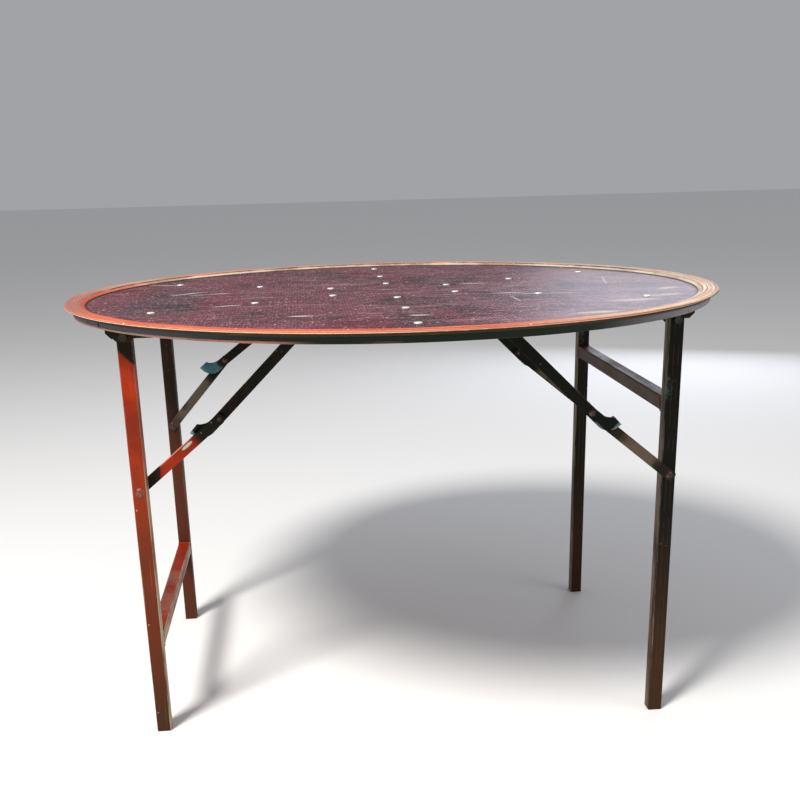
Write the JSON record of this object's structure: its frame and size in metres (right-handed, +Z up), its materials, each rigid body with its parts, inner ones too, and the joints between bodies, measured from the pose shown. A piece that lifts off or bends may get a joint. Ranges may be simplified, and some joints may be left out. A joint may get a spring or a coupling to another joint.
{
  "type": "folding round card table",
  "caption": "Round folding card table: rimmed film-faced top on a steel spider, with two folding leg frames locked by hooked knee braces.",
  "frame": {"origin": "on the floor under the centre of the round top", "axes": "+Z up; +X towards the wider leg frame, which has the high crossbar; -X towards the narrower frame with the low crossbar; the front legs are at -Y"},
  "size_m": [1.2, 1.2, 0.762],
  "materials": {
    "plywood": "oiled",
    "film_face": "scratched satin",
    "rim_paint": "worn satin",
    "lip_paint": "satin",
    "apron_paint": "satin",
    "under_paint": "worn satin",
    "screw_plating": "bright zinc",
    "pivot_steel": "oiled",
    "rivet_steel": "worn paint",
    "left_frame_paint": "worn red oxide",
    "right_frame_paint": "worn dark green over red oxide",
    "brace_paint": "worn dark paint"
  },
  "bodies": {
    "root": {"table_board": "plywood", "top_skin": "film_face", "rim_cap": "rim_paint", "rim_bevel": "rim_paint", "rim_lip": "lip_paint", "apron_ring": "apron_paint", "spider_hub": "under_paint", "spider_arm_1": "under_paint", "spider_arm_2": "under_paint", "spider_arm_3": "under_paint", "spider_arm_4": "under_paint", "spider_arm_5": "under_paint", "spider_arm_6": "under_paint", "front_rail": "under_paint", "back_rail": "under_paint", "top_screws": "screw_plating", "leg_pivot_bolts": "pivot_steel", "leg_pivot_nuts": "pivot_steel", "leg_pivot_spacers": "pivot_steel", "bracket_rivets": "rivet_steel", "bracket_screws": "pivot_steel", "left_front_bracket": "under_paint", "left_back_bracket": "under_paint", "right_front_bracket": "under_paint", "right_back_bracket": "under_paint"},
    "left_leg_frame": {"left_front_leg": "left_frame_paint", "left_back_leg": "left_frame_paint", "left_crossbar": "left_frame_paint", "left_leg_rivets": "rivet_steel"},
    "left_front_upper_link": {"left_front_upper_link": "brace_paint", "left_front_knee_rivet": "rivet_steel", "left_front_knee_spacer": "rivet_steel"},
    "left_front_lower_link": {"left_front_lower_link": "brace_paint", "left_front_link_rivet": "rivet_steel"},
    "left_back_upper_link": {"left_back_upper_link": "brace_paint", "left_back_knee_rivet": "rivet_steel", "left_back_knee_spacer": "rivet_steel"},
    "left_back_lower_link": {"left_back_lower_link": "brace_paint", "left_back_link_rivet": "rivet_steel"},
    "right_leg_frame": {"right_front_leg": "right_frame_paint", "right_back_leg": "right_frame_paint", "right_crossbar": "right_frame_paint", "right_leg_rivets": "rivet_steel"},
    "right_front_upper_link": {"right_front_upper_link": "brace_paint", "right_front_knee_rivet": "rivet_steel", "right_front_knee_spacer": "rivet_steel"},
    "right_front_lower_link": {"right_front_lower_link": "brace_paint", "right_front_link_rivet": "rivet_steel"},
    "right_back_upper_link": {"right_back_upper_link": "brace_paint", "right_back_knee_rivet": "rivet_steel", "right_back_knee_spacer": "rivet_steel"},
    "right_back_lower_link": {"right_back_lower_link": "brace_paint", "right_back_link_rivet": "rivet_steel"}
  },
  "joints": [
    {"name": "left_leg_fold", "type": "hinge", "parent": "root", "child": "left_leg_frame", "pos_m": [-0.464, 0, 0.725], "axis": [0, -1, 0], "range_deg": [0, 90]},
    {"name": "left_front_upper_pivot", "type": "hinge", "parent": "root", "child": "left_front_upper_link", "pos_m": [-0.176, -0.2466, 0.719], "axis": [0, 1, 0], "range_deg": [0, 44.75]},
    {"name": "left_front_knee", "type": "hinge", "parent": "left_front_upper_link", "child": "left_front_lower_link", "pos_m": [-0.32171, -0.2536, 0.57481], "axis": [0, -1, 0], "range_deg": [0, 187.24]},
    {"name": "left_back_upper_pivot", "type": "hinge", "parent": "root", "child": "left_back_upper_link", "pos_m": [-0.176, 0.2466, 0.719], "axis": [0, 1, 0], "range_deg": [0, 36.66]},
    {"name": "left_back_knee", "type": "hinge", "parent": "left_back_upper_link", "child": "left_back_lower_link", "pos_m": [-0.34122, 0.2536, 0.59626], "axis": [0, -1, 0], "range_deg": [0, 170.12]},
    {"name": "right_leg_fold", "type": "hinge", "parent": "root", "child": "right_leg_frame", "pos_m": [0.452, 0, 0.725], "axis": [0, 1, 0], "range_deg": [0, 90]},
    {"name": "right_front_upper_pivot", "type": "hinge", "parent": "root", "child": "right_front_upper_link", "pos_m": [0.164, -0.3284, 0.719], "axis": [0, -1, 0], "range_deg": [0, 44.75]},
    {"name": "right_front_knee", "type": "hinge", "parent": "right_front_upper_link", "child": "right_front_lower_link", "pos_m": [0.30971, -0.3214, 0.57481], "axis": [0, 1, 0], "range_deg": [0, 187.24]},
    {"name": "right_back_upper_pivot", "type": "hinge", "parent": "root", "child": "right_back_upper_link", "pos_m": [0.164, 0.3284, 0.719], "axis": [0, -1, 0], "range_deg": [0, 44.75]},
    {"name": "right_back_knee", "type": "hinge", "parent": "right_back_upper_link", "child": "right_back_lower_link", "pos_m": [0.30971, 0.3214, 0.57481], "axis": [0, 1, 0], "range_deg": [0, 187.24]}
  ],
  "couplings": [
    {"joint": "left_front_upper_pivot", "follows": "left_leg_fold", "ratio": 0.49667},
    {"joint": "left_front_knee", "follows": "left_leg_fold", "ratio": 2.0798},
    {"joint": "left_back_upper_pivot", "follows": "left_leg_fold", "ratio": 0.40675},
    {"joint": "left_back_knee", "follows": "left_leg_fold", "ratio": 1.8897},
    {"joint": "right_front_upper_pivot", "follows": "right_leg_fold", "ratio": 0.49667},
    {"joint": "right_front_knee", "follows": "right_leg_fold", "ratio": 2.0798},
    {"joint": "right_back_upper_pivot", "follows": "right_leg_fold", "ratio": 0.49667},
    {"joint": "right_back_knee", "follows": "right_leg_fold", "ratio": 2.0798}
  ]
}
